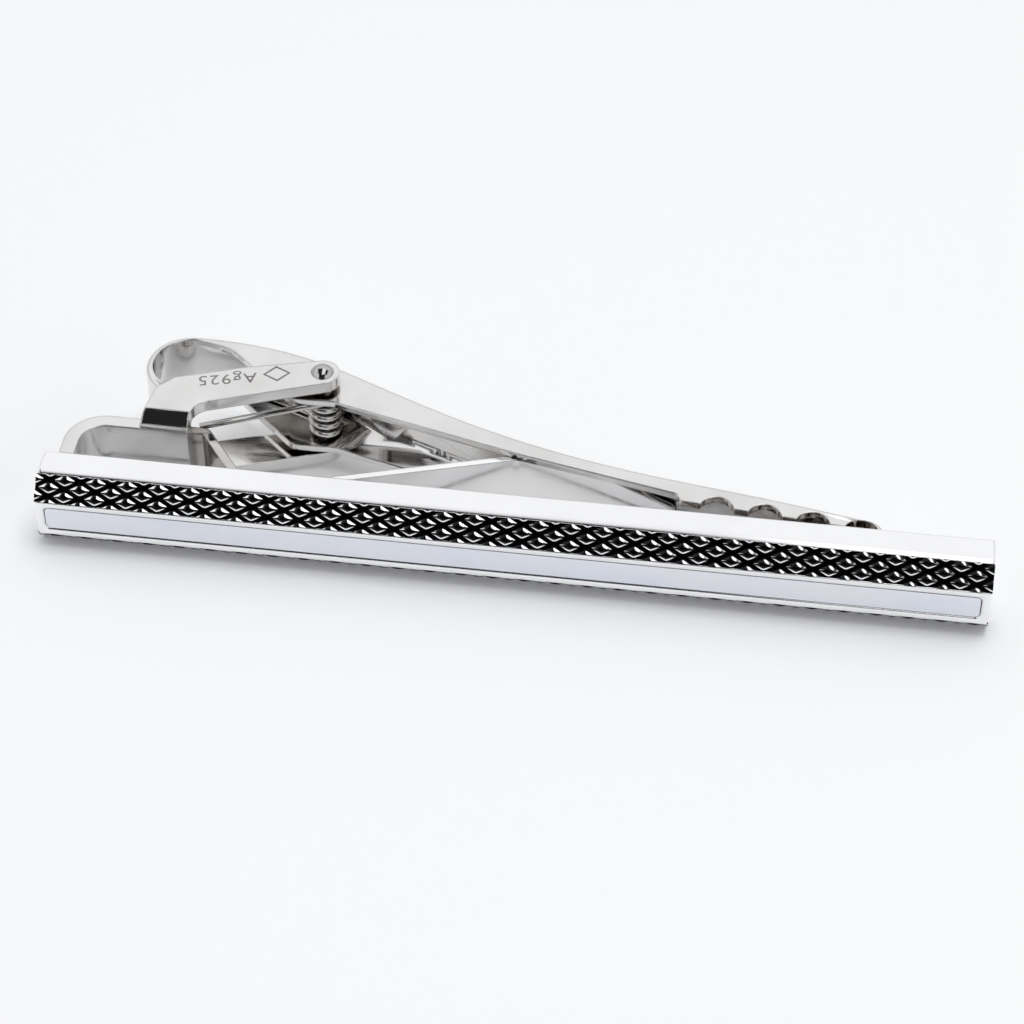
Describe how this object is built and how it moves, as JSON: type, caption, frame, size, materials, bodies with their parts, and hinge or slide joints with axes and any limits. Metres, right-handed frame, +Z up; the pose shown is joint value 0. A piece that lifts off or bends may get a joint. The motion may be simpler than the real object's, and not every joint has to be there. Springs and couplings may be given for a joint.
{
  "type": "tie bar",
  "caption": "Slim tie bar with a pearl-inlaid faceted front, blackened relief bands and a spring-loaded alligator clasp with scalloped jaw at its back.",
  "frame": {"origin": "centre of the bar's flat back face, which the tie is clamped against", "axes": "+X along the bar towards the jaw's tip, +Y out of the bar's back into the clasp, +Z up across the bar's height"},
  "size_m": [0.057, 0.0154, 0.0071],
  "materials": {
    "polished_silver": "mirror-polished rhodium-plated silver",
    "clasp_silver": "polished silver with fine hairline scratches",
    "blackened_relief": "glossy black-plated faceted relief",
    "pearl": "polished white mother-of-pearl, faintly bluish",
    "spring_steel": "drawn spring wire",
    "rivet_silver": "polished domed rivet"
  },
  "bodies": {
    "bar": {"front_bar": "polished_silver", "upper_relief_band": "blackened_relief", "lower_relief_band": "blackened_relief", "pearl_inlay": "pearl", "hinge_bracket": "clasp_silver", "bridge_strut": "clasp_silver", "torsion_spring": "spring_steel", "pivot_rivet": "rivet_silver"},
    "lever": {"lever_jaw": "clasp_silver", "tie_stop_leaf": "clasp_silver"}
  },
  "joints": [
    {"name": "jaw_hinge", "type": "hinge", "parent": "bar", "child": "lever", "pos_m": [-0.013, 0.0084, 0], "axis": [0, 0, 1], "range_deg": [0, 14], "stiffness_Nm_per_rad": 0.08, "springref_deg": -28.65, "deforming": ["torsion_spring"]}
  ]
}
